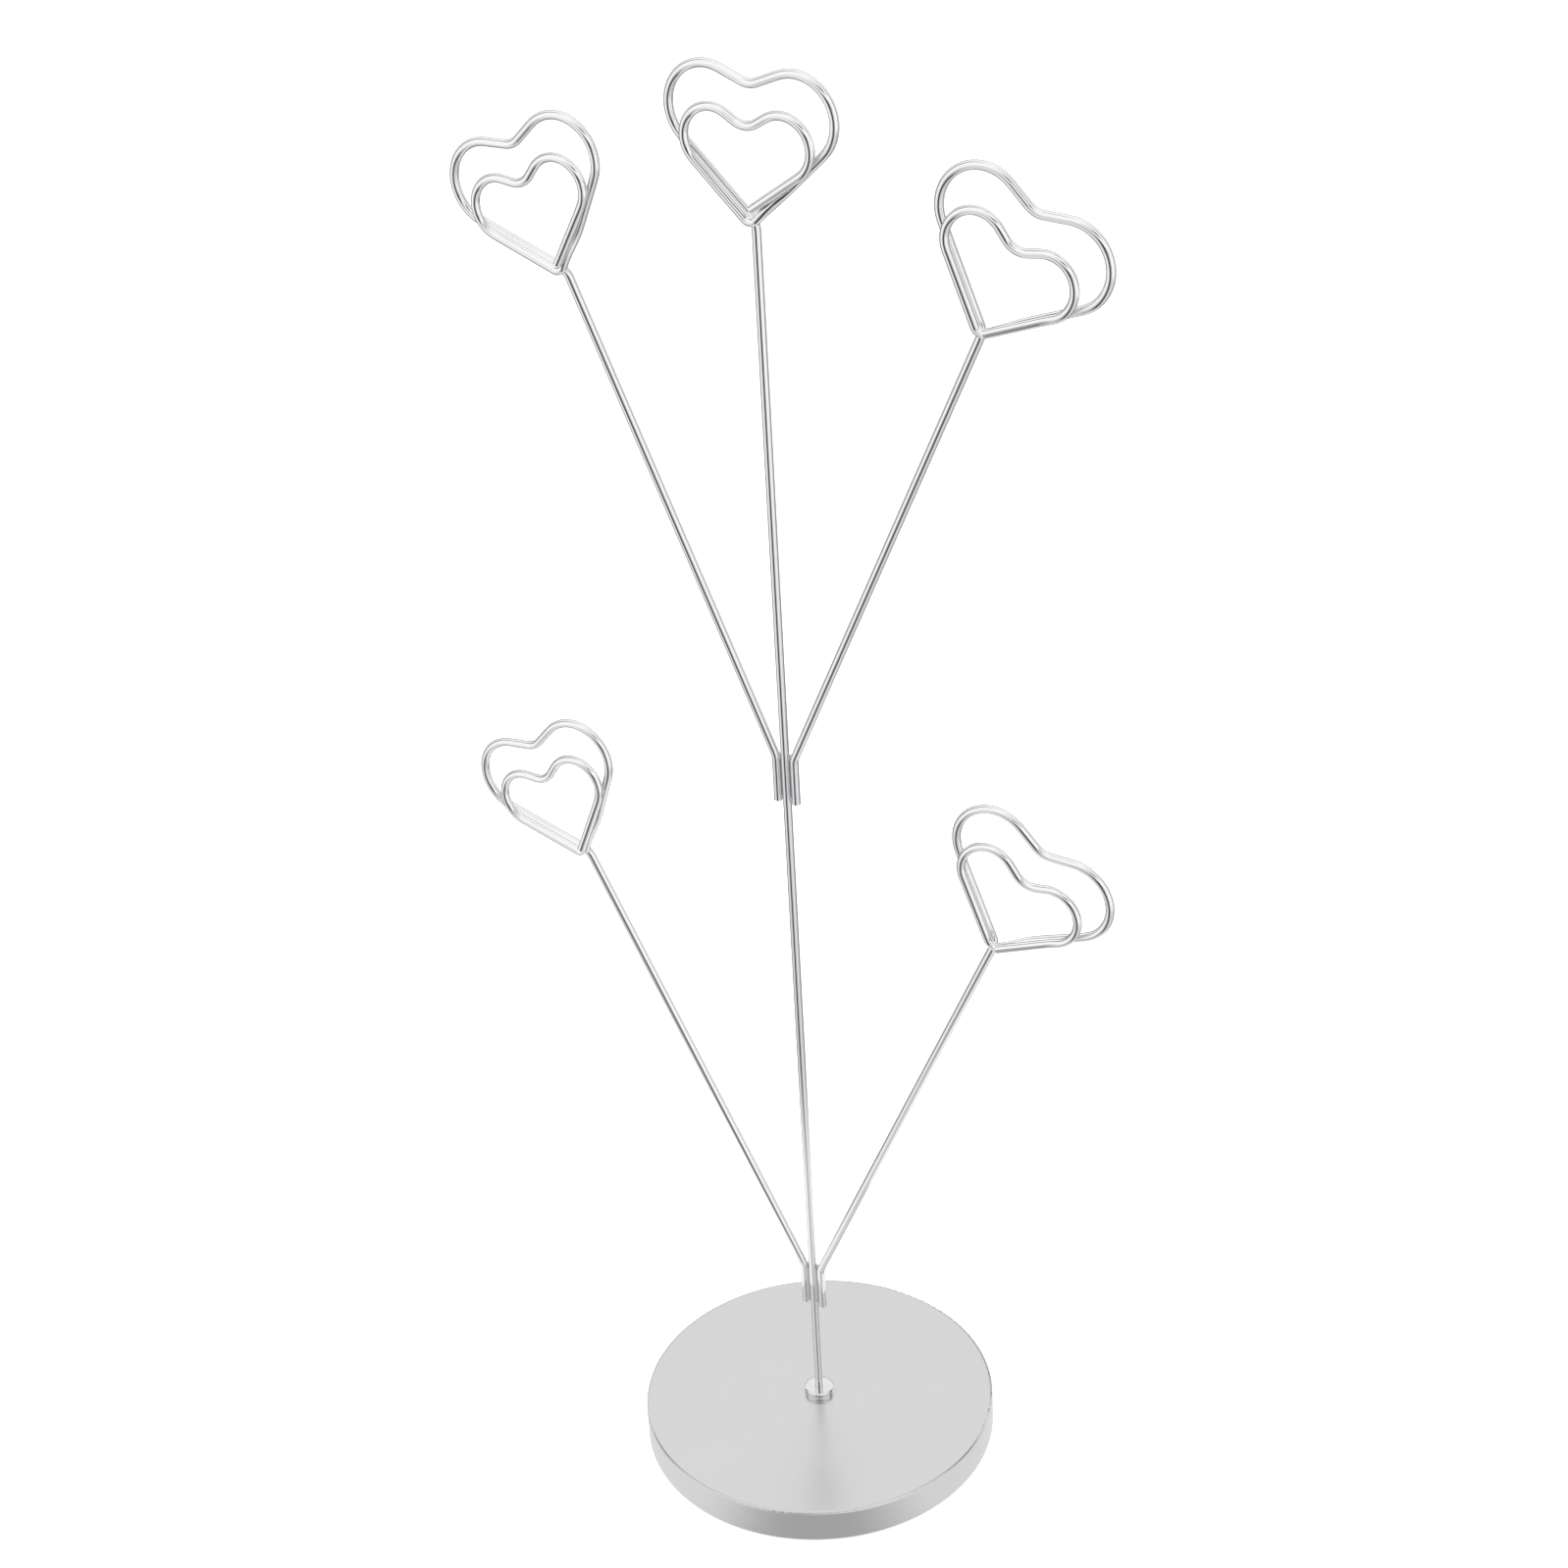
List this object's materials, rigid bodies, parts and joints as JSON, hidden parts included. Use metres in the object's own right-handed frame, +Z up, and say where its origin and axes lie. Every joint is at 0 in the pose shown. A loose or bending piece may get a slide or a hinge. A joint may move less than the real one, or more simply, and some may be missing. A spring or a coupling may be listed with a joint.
{
  "type": "photo tree stand",
  "caption": "Tabletop photo tree: a weighted round base, an upright wire stem and branching wire arms, each ending in a heart-shaped spring clip.",
  "frame": {"origin": "centre of the round base's underside, on the table", "axes": "+Z up along the stem, +X to the right seen from the front, so the hearts' plane is XZ; the small hearts face -Y"},
  "size_m": [0.1716, 0.09, 0.3603],
  "materials": {
    "satin_steel": "satin nickel plate on pressed steel",
    "cast_iron": "rough cast",
    "felt_pad": "matt foam rubber",
    "zinc_steel": "zinc plated",
    "plated_steel": "bright plate",
    "chromed_wire": "bright chrome plate on steel wire",
    "braze": "dull plated braze"
  },
  "bodies": {
    "base": {"base_cover": "satin_steel", "base_weight": "cast_iron", "base_pad": "felt_pad", "base_nut": "zinc_steel", "stem_washer": "plated_steel"},
    "tree": {"stem_wire": "chromed_wire", "stem_collar": "plated_steel", "arm_upper_left": "chromed_wire", "arm_upper_right": "chromed_wire", "arm_lower_left": "chromed_wire", "arm_lower_right": "chromed_wire", "weld_upper_left": "braze", "weld_upper_right": "braze", "weld_lower_left": "braze", "weld_lower_right": "braze"},
    "loop_top": {"loop_top": "chromed_wire"},
    "loop_upper_left": {"loop_upper_left": "chromed_wire"},
    "loop_upper_right": {"loop_upper_right": "chromed_wire"},
    "loop_lower_left": {"loop_lower_left": "chromed_wire"},
    "loop_lower_right": {"loop_lower_right": "chromed_wire"}
  },
  "joints": [
    {"name": "stem_turn", "type": "hinge", "parent": "base", "child": "tree", "pos_m": [0, 0, 0.0098], "axis": [0, 0, 1], "range_deg": [0, 180]},
    {"name": "top_clip_spring", "type": "hinge", "parent": "tree", "child": "loop_top", "pos_m": [0, -0.0022, 0.32752], "axis": [1, 0, 0], "range_deg": [0, 12], "stiffness_Nm_per_rad": 0.3, "springref_deg": -2.86},
    {"name": "upper_left_clip_spring", "type": "hinge", "parent": "tree", "child": "loop_upper_left", "pos_m": [-0.04988, -0.0022, 0.30957], "axis": [0.9191, 0, 0.3939], "range_deg": [0, 12], "stiffness_Nm_per_rad": 0.3, "springref_deg": -2.86},
    {"name": "upper_right_clip_spring", "type": "hinge", "parent": "tree", "child": "loop_upper_right", "pos_m": [0.05316, -0.0022, 0.31174], "axis": [0.9121, 0, -0.4099], "range_deg": [0, 12], "stiffness_Nm_per_rad": 0.3, "springref_deg": -2.86},
    {"name": "lower_left_clip_spring", "type": "hinge", "parent": "tree", "child": "loop_lower_left", "pos_m": [-0.05846, -0.0022, 0.159], "axis": [0.8886, 0, 0.4587], "range_deg": [0, 12], "stiffness_Nm_per_rad": 0.3, "springref_deg": -2.86},
    {"name": "lower_right_clip_spring", "type": "hinge", "parent": "tree", "child": "loop_lower_right", "pos_m": [0.05393, -0.0022, 0.16452], "axis": [0.9114, 0, -0.4115], "range_deg": [0, 12], "stiffness_Nm_per_rad": 0.3, "springref_deg": -2.86}
  ]
}
